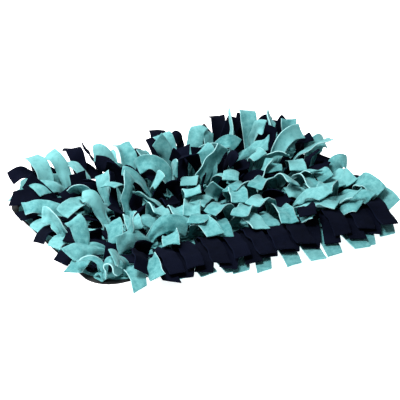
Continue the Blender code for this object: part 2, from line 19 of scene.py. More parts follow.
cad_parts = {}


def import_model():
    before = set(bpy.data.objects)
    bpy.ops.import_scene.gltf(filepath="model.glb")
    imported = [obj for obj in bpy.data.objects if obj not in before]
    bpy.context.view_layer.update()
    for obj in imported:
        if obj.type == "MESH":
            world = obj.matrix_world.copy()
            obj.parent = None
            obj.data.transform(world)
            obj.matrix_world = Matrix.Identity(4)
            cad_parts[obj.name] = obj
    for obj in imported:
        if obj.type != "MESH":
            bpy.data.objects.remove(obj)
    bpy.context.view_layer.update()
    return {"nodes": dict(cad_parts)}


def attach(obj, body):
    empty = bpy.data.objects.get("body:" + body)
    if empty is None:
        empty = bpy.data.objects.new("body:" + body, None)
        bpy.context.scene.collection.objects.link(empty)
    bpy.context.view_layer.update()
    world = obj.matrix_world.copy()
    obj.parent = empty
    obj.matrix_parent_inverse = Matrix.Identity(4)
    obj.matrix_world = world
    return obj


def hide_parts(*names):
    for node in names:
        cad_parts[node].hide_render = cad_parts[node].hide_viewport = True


MM = 0.001
BODY = "root"
CLOTH_UV = "cloth"
TONE = "tone"
TOLERANCE = 1e-6

# How much tails differ: their curls and folds as shares of their manner's, how far from
# a strip's middle a fold may run, how far edges wave, and the span of the noise field
# that tails and knots take their buckles from.
BEND_SPREAD = (0.6, 1.2)
FOLD_PLACE = 0.5
RUFFLES = (0.6 * MM, 2.2 * MM)
NOISE_SPAN = 1000

log = logging.getLogger("snuffle_mat")


class Colour(Enum):
    """The two fleeces that the strips are cut from, and their material slots."""

    AQUA = "aqua"
    NAVY = "navy"

    @property
    def slot(self) -> str:
        """The record's material slot for this fleece."""
        return f"{self.value}_fleece"


def linear(code: str) -> tuple[float, float, float, float]:
    """Turns an sRGB hex colour into linear RGBA.

    Args:
        code: Six hex digits after a hash sign.

    Returns:
        The colour's linear red, green, blue and an alpha of 1.
    """
    shares = (int(code[i:i + 2], 16) / 255 for i in (1, 3, 5))
    red, green, blue = (
        share / 12.92 if share <= 0.04045 else ((share + 0.055) / 1.055) ** 2.4
        for share in shares
    )
    return red, green, blue, 1.0


def add_node(
    tree: bpy.types.NodeTree,
    kind: str,
    inputs: dict[int | str, object],
    **settings: object,
) -> bpy.types.Node:
    """Adds a node, makes its settings and fills its inputs.

    Args:
        tree: The node tree that it goes into.
        kind: The node's type.
        inputs: For each input, by name or number, a value or the socket it is fed from.
        **settings: Values of the node's own properties.

    Returns:
        The new node.
    """
    node = tree.nodes.new(kind)
    for name, value in settings.items():
        setattr(node, name, value)
    for place, value in inputs.items():
        if isinstance(value, bpy.types.NodeSocket):
            tree.links.new(value, node.inputs[place])
        else:
            node.inputs[place].default_value = value
    return node


def new_surface(name: str) -> tuple[bpy.types.Material, bpy.types.NodeTree, bpy.types.Node]:
    """Starts a material.

    Args:
        name: What the material is called.

    Returns:
        The material, its node tree and its Principled shader.
    """
    material = bpy.data.materials.new(name)
    material.use_nodes = True
    tree = material.node_tree
    return material, tree, tree.nodes["Principled BSDF"]


def mesh_object(name: str, bm: bmesh.types.BMesh) -> bpy.types.Object:
    """Makes an object of a finished bmesh, in the scene's collection.

    Args:
        name: The object's and the mesh's name.
        bm: The bmesh, which is freed.

    Returns:
        The new object, smooth shaded.
    """
    mesh = bpy.data.meshes.new(name)
    for face in bm.faces:
        face.smooth = True
    bm.to_mesh(mesh)
    bm.free()
    item = bpy.data.objects.new(name, mesh)
    bpy.context.scene.collection.objects.link(item)
    return item


@dataclass(frozen=True)
class Fleece:
    """Brushed polyester fleece: matt and soft, with a short nap and paler cut edges, their
    paleness partly the cut fibre's own and partly a painted highlight.

    The nap catches light at a grazing angle, which the sheen gives. The knit's wales run
    along a strip as faint ribs, and the pile lies a little differently from place to
    place, which mottles the colour.
    """

    colour: Colour
    lit: str
    deep: str
    # The cut edges' colour: partly paler cut fibre, partly a painted highlight where the edges
    # catch light.
    cut_edge_and_highlight: str
    nap: str
    sheen: float
    specular: float = 0.2
    roughness: float = 0.95
    sheen_roughness: float = 0.45
    nap_size: float = 1.1 * MM
    pill_size: float = 3.6 * MM
    blotch_size: float = 7 * MM
    wale_pitch: float = 2.6 * MM
    edge_width: float = 1.1 * MM
    edge_paleness: float = 0.55
    blotch_gain: float = 1.3
    blotch_shift: float = -0.4
    tone_gain: float = 0.55
    nap_gain: float = 0.5
    wale_height: float = 0.35
    pill_height: float = 1.6
    bump: float = 0.45
    bump_depth: float = 0.5 * MM

    def material(self, use: str, half_width: float) -> bpy.types.Material:
        """Makes the cloth's material.

        Args:
            use: What is cut from the cloth, for the material's name.
            half_width: Half the width that is cut, where the cut edges are.

        Returns:
            The material, which reads the cut piece's own UV map and tone.
        """
        material, tree, surface = new_surface(f"{self.colour.value}_brushed_fleece_{use}")
        place = add_node(tree, "ShaderNodeTexCoord", {}).outputs["Object"]
        cloth = add_node(tree, "ShaderNodeUVMap", {}, uv_map=CLOTH_UV).outputs["UV"]
        tone = add_node(tree, "ShaderNodeAttribute", {}, attribute_name=TONE).outputs["Fac"]
        nap = add_node(
            tree,
            "ShaderNodeTexNoise",
            {"Vector": place, "Scale": 1 / self.nap_size, "Detail": 2.0, "Roughness": 0.6},
        ).outputs["Fac"]
        blotch = add_node(
            tree,
            "ShaderNodeTexNoise",
            {"Vector": place, "Scale": 1 / self.blotch_size, "Detail": 3.0, "Roughness": 0.6},
        ).outputs["Fac"]
        # A knit's wales are about 1 mm apart. They are drawn coarser, so that they show.
        # Bands of scale 1 are pi / 10 apart.
        wales = add_node(
            tree,
            "ShaderNodeTexWave",
            {
                "Vector": cloth,
                "Scale": math.pi / 10 / self.wale_pitch,
                "Distortion": 1.2,
                "Detail": 1.0,
                "Detail Scale": 1.5,
            },
            wave_type="BANDS",
            bands_direction="X",
        ).outputs["Fac"]
        mottle = add_node(
            tree,
            "ShaderNodeMath",
            {0: blotch, 1: self.blotch_gain, 2: self.blotch_shift},
            operation="MULTIPLY_ADD",
        ).outputs[0]
        shade = add_node(
            tree,
            "ShaderNodeMath",
            {0: tone, 1: self.tone_gain, 2: mottle},
            operation="MULTIPLY_ADD",
        ).outputs[0]
        grain = add_node(
            tree,
            "ShaderNodeMath",
            {0: nap, 1: self.nap_gain, 2: shade},
            operation="MULTIPLY_ADD",
            use_clamp=True,
        ).outputs[0]
        body = add_node(
            tree,
            "ShaderNodeMix",
            {0: grain, 6: linear(self.deep), 7: linear(self.lit)},
            data_type="RGBA",
        ).outputs[2]
        across = add_node(tree, "ShaderNodeSeparateXYZ", {0: cloth}).outputs["X"]
        aside = add_node(tree, "ShaderNodeMath", {0: across}, operation="ABSOLUTE").outputs[0]
        # Paler towards the cut edges: partly the cut fibre's own colour, partly a painted
        # highlight where the edges catch light.
        at_edge = add_node(
            tree,
            "ShaderNodeMapRange",
            {
                0: aside,
                1: half_width - self.edge_width,
                2: half_width,
                3: 0.0,
                4: self.edge_paleness,
            },
            interpolation_type="SMOOTHSTEP",
        ).outputs[0]
        colour = add_node(
            tree,
            "ShaderNodeMix",
            {0: at_edge, 6: body, 7: linear(self.cut_edge_and_highlight)},
            data_type="RGBA",
        ).outputs[2]
        tree.links.new(colour, surface.inputs["Base Color"])
        pilled = add_node(
            tree,
            "ShaderNodeTexNoise",
            {"Vector": place, "Scale": 1 / self.pill_size, "Detail": 2.0, "Roughness": 0.5},
        ).outputs["Fac"]
        ribbed = add_node(
            tree,
            "ShaderNodeMath",
            {0: wales, 1: self.wale_height, 2: nap},
            operation="MULTIPLY_ADD",
        ).outputs[0]
        relief = add_node(
            tree,
            "ShaderNodeMath",
            {0: pilled, 1: self.pill_height, 2: ribbed},
            operation="MULTIPLY_ADD",
        ).outputs[0]
        bump = add_node(
            tree,
            "ShaderNodeBump",
            {"Height": relief, "Strength": self.bump, "Distance": self.bump_depth},
        )
        tree.links.new(bump.outputs[0], surface.inputs["Normal"])
        surface.inputs["Roughness"].default_value = self.roughness
        surface.inputs["Specular IOR Level"].default_value = self.specular
        surface.inputs["Sheen Weight"].default_value = self.sheen
        surface.inputs["Sheen Roughness"].default_value = self.sheen_roughness
        surface.inputs["Sheen Tint"].default_value = linear(self.nap)
        return material


@dataclass(frozen=True)
class SheetRubber:
    """Black sheet rubber, calendered: nearly matt, with a fine even grain."""

    body: str = "#050708"
    worn: str = "#0C0F11"
    roughness: float = 0.72
    grain_size: float = 1.2 * MM
    bump: float = 0.3
    bump_depth: float = 0.2 * MM

    def material(self) -> bpy.types.Material:
        """Makes the rubber's material.

        Returns:
            The material, whose grain reads Object coordinates.
        """
        material, tree, surface = new_surface("black_sheet_rubber")
        place = add_node(tree, "ShaderNodeTexCoord", {}).outputs["Object"]
        grain = add_node(
            tree,
            "ShaderNodeTexNoise",
            {"Vector": place, "Scale": 1 / self.grain_size, "Detail": 3.0, "Roughness": 0.6},
        ).outputs["Fac"]
        colour = add_node(
            tree,
            "ShaderNodeMix",
            {0: grain, 6: linear(self.body), 7: linear(self.worn)},
            data_type="RGBA",
        ).outputs[2]
        tree.links.new(colour, surface.inputs["Base Color"])
        bump = add_node(
            tree,
            "ShaderNodeBump",
            {"Height": grain, "Strength": self.bump, "Distance": self.bump_depth},
        )
        tree.links.new(bump.outputs[0], surface.inputs["Normal"])
        surface.inputs["Roughness"].default_value = self.roughness
        return material


@dataclass(frozen=True)
class Layout:
    """The mat's outline and its grid of knots.

    thickness is that of the base and its facing together, which the bands lie on.
    """

    length: float = 457 * MM
    width: float = 305 * MM
    thickness: float = 3 * MM
    corner: float = 38 * MM
    rows: int = 10
    knots: int = 14
    row_pitch: float = 30 * MM
    knot_pitch: float = 32 * MM
    band_width: float = 9 * MM
    band_foot: float = 3.3 * MM
    band_top: float = 5.3 * MM
    knot_length: float = 12 * MM
    knot_top: float = 9.3 * MM

    def colour(self, row: int) -> Colour:
        """The fleece of a row: the colours alternate."""
        return Colour.AQUA if row % 2 == 0 else Colour.NAVY

    def node(self, row: int) -> str:
        """The name of a row's CAD node."""
        return f"row_{row + 1:02d}_{self.colour(row).value}"

    def knot_place(self, row: int, knot: int) -> Vector:
        """The middle of a knot's top."""
        return Vector((
            (knot - (self.knots - 1) / 2) * self.knot_pitch,
            (row - (self.rows - 1) / 2) * self.row_pitch,
            self.knot_top,
        ))

    def past_edge(self, x: float, y: float) -> float:
        """Measures how far a point lies outside the mat's rounded outline, from above.

        Args:
            x: The point's place along the mat.
            y: The point's place across it.

        Returns:
            The distance, below 0 for a point inside the outline.
        """
        along = max(abs(x) - (self.length / 2 - self.corner), 0)
        across = max(abs(y) - (self.width / 2 - self.corner), 0)
        return math.hypot(along, across) - self.corner


@dataclass(frozen=True)
class Drape:
    """How a length of fleece falls: how far it strays from a flat ribbon.

    curl is the angle that each edge turns up by, and fold that of a crease along the
    strip, fold_place being where that is between the edges, from -1 to 1. ruffle is how
    far the edges wave, and crumple how far the cloth buckles all over. crease_radius is
    how round a crease is, and crease_draw how much it draws the edges in.
    """

    curl: float
    fold: float
    fold_place: float
    ruffle: float
    crumple: float
    crease_radius: float = 0.12
    crease_draw: float = 0.6

    def across(self, side: float, half: float) -> tuple[float, float]:
        """Bends the line across the strip.

        Args:
            side: Where the point is between the edges, from -1 to 1.
            half: Half the strip's width.

        Returns:
            How far the point lies aside and how far it is lifted.
        """
        turn = side * math.radians(self.curl)
        fold = math.radians(self.fold)
        spread = math.sin(turn) / turn if abs(turn) > TOLERANCE else 1.0
        crease = math.hypot(side - self.fold_place, self.crease_radius)
        aside = side * spread * (1 - self.crease_draw * (1 - math.cos(fold)))
        lifted = side * math.tan(turn / 2) * spread + crease * math.sin(fold)
        return aside * half, lifted * half


class Manner(Enum):
    """The ways that a tail may lie, each with its curl, its fold and its crumple."""

    FLAT = (12, 0, 1.4 * MM)
    CURLED = (62, 0, 1.6 * MM)
    FOLDED = (15, 30, 1.6 * MM)
    CRUMPLED = (30, 14, 3.2 * MM)

    def drape(self, chance: random.Random) -> Drape:
        """Draws the drape of one tail.

        Args:
            chance: The row's source of unevenness.

        Returns:
            The drape, with its own share of the manner's curl and fold.
        """
        curl, fold, crumple = self.value
        way = chance.choice((-1, 1))
        return Drape(
            curl=way * curl * chance.uniform(*BEND_SPREAD),
            fold=way * fold * chance.uniform(*BEND_SPREAD),
            fold_place=chance.uniform(-FOLD_PLACE, FOLD_PLACE),
            ruffle=chance.uniform(*RUFFLES),
            crumple=crumple,
        )


@dataclass(frozen=True)
class Piece:
    """What one length of cloth has of its own.

    tone is how light its dye took, from 0 to 1. pleat_phase and wave_phase are where its
    pleats and the waves of its edges start, and noise_place is its place in the noise
    field. slant is how far its end is cut off square, trim how wide it was cut, as a
    share, and drift how far aside its end has slid where it lies low.
    """

    tone: float
    pleat_phase: float
    wave_phase: float
    noise_place: Vector
    drape: Drape
    slant: float
    trim: float
    drift: float


@dataclass
class Section:
    """A cut across a tail: its middle, the way across it and its width."""

    middle: Vector
    across: Vector
    width: float


@dataclass
class Path:
    """The way that a tail lies, through the sections of its solid from the knot out."""

    sections: list[Section]
    lengths: list[float] = field(init=False)

    def __post_init__(self) -> None:
        """Measures how far along the tail each section is."""
        self.lengths = [0.0]
        for before, after in zip(self.sections, self.sections[1:]):
            step = (after.middle - before.middle).length
            self.lengths.append(self.lengths[-1] + step)

    def stretch(self, distance: float) -> tuple[int, float]:
        """Finds where a distance along the tail falls.

        Args:
            distance: From the knot. It may be a little past the end.

        Returns:
            The number of the section before it, and the share of the way to the next.
        """
        last = len(self.sections) - 2
        k = 0
        while k < last and distance > self.lengths[k + 1]:
            k += 1
        span = self.lengths[k + 1] - self.lengths[k]
        return k, (distance - self.lengths[k]) / span

    def slope(self, k: int) -> Vector:
        """Finds the way the tail runs at a section, from the sections beside it.

        Args:
            k: The section's number.

        Returns:
            The step along the tail's line for each metre of its length.
        """
        first, last = max(k - 1, 0), min(k + 1, len(self.sections) - 1)
        along = self.sections[last].middle - self.sections[first].middle
        return along / (self.lengths[last] - self.lengths[first])

    def middle(self, distance: float) -> Vector:
        """Finds a point on the smooth line through the middles of the sections.

        Args:
            distance: How far from the knot it is.

        Returns:
            The point.
        """
        k, share = self.stretch(distance)
        span = self.lengths[k + 1] - self.lengths[k]
        start, end = self.sections[k].middle, self.sections[k + 1].middle
        bend = share * share * (3 - 2 * share)
        leave = share * (1 - share) ** 2 * span
        arrive = share * share * (1 - share) * span
        line = start.lerp(end, bend)
        return line + self.slope(k) * leave - self.slope(k + 1) * arrive

    def across(self, distance: float) -> Vector:
        """The way across the tail at a distance along it."""
        k, share = self.stretch(distance)
        return self.sections[k].across.lerp(self.sections[k + 1].across, share)

    def width(self, distance: float) -> float:
        """Finds the tail's width, which changes evenly between sections.

        Args:
            distance: How far from the knot it is.

        Returns:
            The width.
        """
        k, share = self.stretch(distance)
        start, end = self.sections[k].width, self.sections[k + 1].width
        return start + (end - start) * min(share, 1)

    @property
    def length(self) -> float:
        """The tail's length from the knot to its cut end."""
        return self.lengths[-1]


@dataclass
class RowSolid:
    """The solid of a row of strips, which the tails' paths are read from."""

    layout: Layout
    row: int
    merge: float = 0.005 * MM
    margin: float = 0.02 * MM

    def read(self, node: bpy.types.Object) -> list[Path]:
        """Finds the path of every tail on the row.

        Args:
            node: The row's CAD node, which is left as it is.

        Returns:
            The paths, along the row and from front to back.
        """
        bm = bmesh.new()
        bm.from_mesh(node.data)
        bmesh.ops.remove_doubles(bm, verts=bm.verts[:], dist=self.merge)
        tied = {vert for vert in bm.verts if self.in_band(vert.co)}
        starts: dict[tuple[int, bool], set[bmesh.types.BMVert]] = {}
        for vert in bm.verts:
            if vert in tied:
                continue
            roots = [edge.other_vert(vert) for edge in vert.link_edges]
            roots = [root for root in roots if root in tied]
            if roots:
                starts.setdefault(self.nearest_root(vert, tied), set()).add(vert)
        paths = [
            self.walk(self.root_place(*place), first, tied)
            for place, first in sorted(starts.items(), key=lambda item: item[0])
        ]
        bm.free()
        return paths

    def in_band(self, point: Vector) -> bool:
        """Tells whether a corner is one of the band's or a knot's, not a tail's.

        Args:
            point: The corner. Those of the band and its knots are all on a few planes.

        Returns:
            Whether it is on them.
        """
        aside = abs(point.y - self.layout.knot_place(self.row, 0).y)
        edges = (0, self.layout.band_width / 2)
        levels = (self.layout.band_foot, self.layout.band_top, self.layout.knot_top)
        on_edge = any(abs(aside - edge) < self.margin for edge in edges)
        return on_edge and any(abs(point.z - level) < self.margin for level in levels)

    def nearest_root(
        self,
        vert: bmesh.types.BMVert,
        tied: set[bmesh.types.BMVert],
    ) -> tuple[int, bool]:
        """Tells which tail a first corner belongs to.

        Args:
            vert: A corner of a tail's first section.
            tied: The corners of the band and its knots.

        Returns:
            The knot's number, and whether the tail leaves it backwards.
        """
        near = [vert] + [
            other
            for edge in vert.link_edges
            for other in [edge.other_vert(vert)]
            if other not in tied
        ]
        roots = {
            edge.other_vert(corner)
            for corner in near
            for edge in corner.link_edges
            if edge.other_vert(corner) in tied
        }
        middle = sum((root.co for root in roots), Vector()) / len(roots)
        first = self.layout.knot_place(self.row, 0)
        knot = round((middle.x - first.x) / self.layout.knot_pitch)
        return knot, middle.y > first.y

    def root_place(self, knot: int, behind: bool) -> Vector:
        """The middle of the half of a knot's top that a tail grows from."""
        shift = self.layout.band_width / 4 * (1 if behind else -1)
        return self.layout.knot_place(self.row, knot) + Vector((0, shift, 0))

    def walk(
        self,
        root: Vector,
        first: set[bmesh.types.BMVert],
        tied: set[bmesh.types.BMVert],
    ) -> Path:
        """Follows a tail's solid out, one ring of corners after another.

        Args:
            root: Where the tail leaves its knot.
            first: The four corners nearest the knot.
            tied: The corners of the band and its knots.

        Returns:
            The tail's path.
        """
        seen = set(tied)
        ring = set(first)
        sections: list[Section] = []
        while ring:
            seen |= ring
            sections.append(self.section([vert.co.copy() for vert in ring], sections))
            ring = {
                edge.other_vert(vert)
                for vert in ring
                for edge in vert.link_edges
                if edge.other_vert(vert) not in seen
            }
        start = Section(root, sections[0].across.copy(), self.layout.knot_length)
        return Path([start] + sections)

    def section(self, corners: list[Vector], before: list[Section]) -> Section:
        """Measures a ring of four corners, two of them a cloth's thickness apart.

        Args:
            corners: The corners, in any order.
            before: The sections found so far.

        Returns:
            The section, with its way across turned to suit the last one.
        """
        first, *others = corners = sorted(corners, key=tuple)
        middle = sum(corners, Vector()) / len(corners)
        sides = sorted((corner - first for corner in others), key=lambda side: side.length)
        width = sides[1].length
        across = sides[1] / width
        if before and across.dot(before[-1].across) < 0:
            across.negate()
        return Section(middle, across, width)


@dataclass
class StripRow:
    """A row of fleece strips, each tied round the sheet in a knot that leaves two tails.

    A tail is cut as a flat strip and then laid along its path: gathered into pleats at
    its knot, and past them draped in its own manner, buckled a little all over, and
    flatter again towards its cut end, which isn't quite square. A tail that lies low is
    held flat by the others, and only slides aside.
    """

    layout: Layout
    row: int
    finish: bpy.types.Material
    seed: int = 80
    # The strip as it is cut, and the cells of its mesh with their margins at the edges.
    strip_width: float = 25 * MM
    root_width: float = 17 * MM
    cloth: float = 2.1 * MM
    columns: int = 9
    cells: int = 15
    side_margin: float = 1.5 * MM
    end_margin: float = 2.2 * MM
    trims: tuple[float, float] = (0.92, 1.02)
    slant: float = 3.5 * MM
    # Its pleats at the knot, and how it sinks into the knot.
    pleat_depth: float = 3.2 * MM
    pleats: float = 1.8
    pleat_end: float = 0.55
    pleat_fade: float = 1.2
    sunk: float = 2.5 * MM
    sunk_end: float = 1 / 12
    # Where along the tail it is loose, how loose a low one is, and how its end flattens.
    loose_start: float = 1 / 3
    low_start: float = 1 / 2
    low_looseness: float = 0.5
    rest_height: float = 14 * MM
    drift: float = 12 * MM
    end_start: float = 0.45
    end_flatness: float = 0.85
    # The waves of its edges, its buckles, and its sway.
    ruffle_length: float = 30 * MM
    ruffle_shift: float = 1.3
    buckle_size: float = 13 * MM
    sway: float = 3.5 * MM
    sway_size: float = 34 * MM
    stray_across: float = 0.5
    stray_along: float = 0.5
    # A knot's loop of cloth.
    knot_length: float = 19 * MM
    knot_radius: float = 8.5 * MM
    knot_rise: float = 2.5 * MM
    knot_columns: int = 7
    knot_sides: int = 12
    knot_pinch: float = 0.3
    knot_squash: float = 0.85
    knot_lean: float = 0.5
    knot_buckle: float = 3.2 * MM
    # The band under the knots.
    band_overhang: float = 3 * MM
    band_trim: float = 2 * MM
    band_columns: int = 3
    band_tone: float = 0.3
    # How near corners are joined, and the least gap under the cloth.
    merge: float = 0.01 * MM
    floor_gap: float = 0.25 * MM

    def build(self, node: bpy.types.Object) -> bpy.types.Object:
        """Makes the row's cloth around the paths of its solid.

        Args:
            node: The row's CAD node.

        Returns:
            The row as one piece, placed and dressed.
        """
        chance = random.Random(self.seed + self.row)
        noise.seed_set(self.seed + self.row)
        paths = RowSolid(self.layout, self.row).read(node)
        bm = bmesh.new()
        bm.loops.layers.uv.new(CLOTH_UV)
        bm.verts.layers.float.new(TONE)
        for path in paths:
            self.add_tail(bm, path, chance)
        for knot in range(self.layout.knots):
            self.add_knot(bm, knot, chance)
        self.add_band(bm)
        row = mesh_object(f"strips_{self.row + 1:02d}_{self.layout.colour(self.row).value}", bm)
        self.thicken(row)
        row.data.materials.append(self.finish)
        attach(row, BODY)
        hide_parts(node.name)
        self.layout.colour(self.row).slot
        log.info("%s: %d tails", row.name, len(paths))
        return row

    def cut(
        self,
        bm: bmesh.types.BMesh,
        columns: int,
        cells: int,
        size: tuple[float, float],
        tone: float,
    ) -> list[bmesh.types.BMVert]:
        """Cuts a flat rectangle of cloth and marks its UV and tone.

        Args:
            bm: The row's bmesh.
            columns: Cells across it.
            cells: Cells along it.
            size: Its width, along X, and its length, along Y from 0.
            tone: How light its dye took, from 0 to 1.

        Returns:
            Its vertices.
        """
        width, length = size
        half = Matrix.Diagonal((width / 2, length / 2, 1, 1))
        place = Matrix.Translation((0, length / 2, 0)) @ half
        grid = bmesh.ops.create_grid(
            bm,
            x_segments=columns,
            y_segments=cells,
            size=1,
            matrix=place,
        )
        cloth = bm.loops.layers.uv[CLOTH_UV]
        tones = bm.verts.layers.float[TONE]
        for face in {face for vert in grid["verts"] for face in vert.link_faces}:
            for loop in face.loops:
                loop[cloth].uv = loop.vert.co.xy
        for vert in grid["verts"]:
            vert[tones] = tone
        return grid["verts"]

    def draw_piece(self, path: Path, chance: random.Random) -> Piece:
        """Draws what a tail has of its own.

        Args:
            path: The way that the tail lies.
            chance: The row's source of unevenness.

        Returns:
            The tail's own dye, pleats, drape and cut.
        """
        return Piece(
            tone=chance.random(),
            pleat_phase=chance.uniform(0, math.tau),
            wave_phase=chance.uniform(0, math.tau),
            noise_place=Vector((0, 0, chance.uniform(0, NOISE_SPAN))),
            drape=self.manner(path, chance).drape(chance),
            slant=chance.uniform(-self.slant, self.slant),
            trim=chance.uniform(*self.trims),
            drift=chance.uniform(-self.drift, self.drift),
        )

    def add_tail(self, bm: bmesh.types.BMesh, path: Path, chance: random.Random) -> None:
        """Cuts a strip as long as a path and lays it along that path.

        Args:
            bm: The row's bmesh.
            path: The way that the tail lies.
            chance: The row's source of unevenness.
        """
        piece = self.draw_piece(path, chance)
        size = (self.strip_width, path.length)
        half = self.strip_width / 2
        for vert in self.cut(bm, self.columns, self.cells, size, piece.tone):
            side = self.drawn_in(vert.co.x / half, self.side_margin / half)
            share = self.drawn_out(vert.co.y / path.length, self.end_margin / path.length)
            vert.co = self.lay(path, piece, side, share)

    def lay(self, path: Path, piece: Piece, side: float, share: float) -> Vector:
        """Finds where a point of a tail lies.

        Args:
            path: The way that the tail lies.
            piece: What the tail has of its own.
            side: Where the point is between the edges, from -1 to 1.
            share: How far out it is, from 0 at the knot to 1 at the cut end.

        Returns:
            The point's place.
        """
        distance = share * path.length + piece.slant * side * share
        middle = path.middle(distance)
        ahead = (path.middle(distance + MM) - path.middle(distance - MM)).normalized()
        across = path.across(distance)
        across = (across - ahead * across.dot(ahead)).normalized()
        gathered = max(1 - share / self.pleat_end, 0) ** self.pleat_fade
        free = min(max((middle.z - self.layout.knot_top) / self.rest_height, 0), 1)
        loose = free * min(share / self.loose_start, 1)
        past = max((share - self.end_start) / (1 - self.end_start), 0)
        bent = loose * (1 - self.end_flatness * past)
        width = self.width(path, distance, gathered)
        if share > self.pleat_end:
            width *= piece.trim
        flat = side * width / 2
        aside, lifted = piece.drape.across(side, width / 2)
        aside = flat + (aside - flat) * bent + piece.drift * share * share * (1 - free)
        pleat = math.cos(math.pi * self.pleats * side + piece.pleat_phase) * self.pleat_depth
        waved = math.tau * distance / self.ruffle_length + piece.wave_phase
        wave = math.sin(waved + self.ruffle_shift * side) * piece.drape.ruffle * abs(side)
        lift = pleat * gathered + lifted * bent + wave * loose
        strayed = self.stray(piece, side, distance)
        strayed *= max(loose, self.low_looseness * min(share / self.low_start, 1))
        place = middle + across * (aside + strayed.x * self.stray_across)
        place += ahead.cross(across) * (lift + strayed.y) + ahead * strayed.z * self.stray_along
        place.z = max(place.z, self.lowest(place))
        place.z -= self.sunk * max(1 - share / self.sunk_end, 0)
        return place

    def stray(self, piece: Piece, side: float, distance: float) -> Vector:
        """How far a loose tail buckles and sways at a point.

        Args:
            piece: What the tail has of its own.
            side: Where the point is between the edges, from -1 to 1.
            distance: How far from the knot it is.

        Returns:
            How far the point strays across the tail, off its face and along it.
        """
        on_cloth = Vector((side * self.strip_width / 2, distance, 0))
        on_line = Vector((0, distance, 0))
        buckle = noise.noise_vector(on_cloth / self.buckle_size + piece.noise_place)
        sway = noise.noise_vector(on_line / self.sway_size + piece.noise_place)
        return buckle * piece.drape.crumple + sway * self.sway

    def manner(self, path: Path, chance: random.Random) -> Manner:
        """Chooses how a tail lies. One that is low all along it lies flat.

        Args:
            path: The way that the tail lies.
            chance: The row's source of unevenness.

        Returns:
            The tail's manner.
        """
        highest = max(section.middle.z for section in path.sections)
        if highest < 2 * self.rest_height:
            return Manner.FLAT
        return chance.choice(list(Manner))

    def width(self, path: Path, distance: float, gathered: float) -> float:
        """How wide the cloth lies at a distance along a tail, gathered at its knot."""
        full = path.width(distance) / max(section.width for section in path.sections)
        return max(self.strip_width * full, self.root_width * gathered)

    def drawn_in(self, side: float, margin: float) -> float:
        """Moves the column next to a strip's edge outwards, so that the edge is crisp.

        Args:
            side: Where the column is between the edges, from -1 to 1.
            margin: How far from the edge it is to be, as a share of half the width.

        Returns:
            Where the column goes, the other columns being spread to match.
        """
        inner = 1 - 2 / self.columns
        if abs(side) <= inner + TOLERANCE:
            return side / inner * (1 - margin)
        return side

    def drawn_out(self, share: float, margin: float) -> float:
        """Moves the cells next to the cut end outwards, so that the end is crisp.

        Args:
            share: How far out a row of cells is, from 0 at the knot to 1 at the end.
            margin: How far from the end the last but one is to be, as a share.

        Returns:
            Where the row goes, the other rows being spread to match.
        """
        inner = 1 - 1 / self.cells
        if share <= inner + TOLERANCE:
            return share / inner * (1 - margin)
        return share

    def lowest(self, point: Vector) -> float:
        """Finds how low the cloth may lie, over the facing or over the floor past it.

        Args:
            point: A point of the cloth's middle.

        Returns:
            The least height of that point.
        """
        inside = self.layout.past_edge(point.x, point.y) < self.cloth
        ground = self.layout.thickness if inside else 0
        return ground + self.cloth / 2 + self.floor_gap

    def add_knot(self, bm: bmesh.types.BMesh, knot: int, chance: random.Random) -> None:
        """Wraps a knot's loop of cloth round the place where its tails leave it.

        Args:
            bm: The row's bmesh.
            knot: The knot's number along the row.
            chance: The row's source of unevenness.
        """
        size = (self.knot_length, self.knot_radius * math.tau)
        verts = self.cut(bm, self.knot_columns, self.knot_sides, size, chance.random())
        top = self.layout.knot_place(self.row, knot)
        middle = top - Vector((0, 0, self.knot_radius - self.knot_rise - self.cloth / 2))
        lean = chance.uniform(-self.knot_lean, self.knot_lean)
        noise_place = Vector((0, 0, chance.uniform(0, NOISE_SPAN)))
        for vert in verts:
            angle = vert.co.y / self.knot_radius
            side = vert.co.x / (self.knot_length / 2)
            pinched = 1 - self.knot_pinch * (1 - side * side)
            outwards = Vector((0, math.sin(angle), math.cos(angle))) * self.knot_radius
            place = Vector((vert.co.x, 0, 0)) + outwards
            buckle = noise.noise_vector(place / self.buckle_size + noise_place)
            vert.co = middle + buckle * self.knot_buckle + Vector((
                vert.co.x + lean * outwards.y,
                outwards.y * pinched,
                outwards.z * pinched * self.knot_squash,
            ))
            vert.co.z = max(vert.co.z, self.lowest(vert.co))
        bmesh.ops.remove_doubles(bm, verts=verts, dist=self.merge)

    def add_band(self, bm: bmesh.types.BMesh) -> None:
        """Lays the narrow band that runs under the row's knots.

        Args:
            bm: The row's bmesh.
        """
        first = self.layout.knot_place(self.row, 0)
        last = self.layout.knot_place(self.row, self.layout.knots - 1)
        overhang = self.layout.knot_length / 2 + self.band_overhang
        size = (self.layout.band_width - self.band_trim, last.x - first.x + 2 * overhang)
        middle = (self.layout.band_foot + self.layout.band_top) / 2
        for vert in self.cut(bm, self.band_columns, self.layout.knots * 2, size, self.band_tone):
            x, y = vert.co.y, vert.co.x
            vert.co = Vector((first.x - overhang + x, first.y + y, middle))

    def thicken(self, row: bpy.types.Object) -> None:
        """Gives the row's cloth its thickness and rounds its cut edges.

        Args:
            row: The row's object.
        """
        solidify = row.modifiers.new("thickness", "SOLIDIFY")
        solidify.thickness = self.cloth
        solidify.offset = 0
        rounding = row.modifiers.new("softness", "SUBSURF")
        rounding.levels = 1
        rounding.render_levels = 1
        rounding.uv_smooth = "PRESERVE_BOUNDARIES"


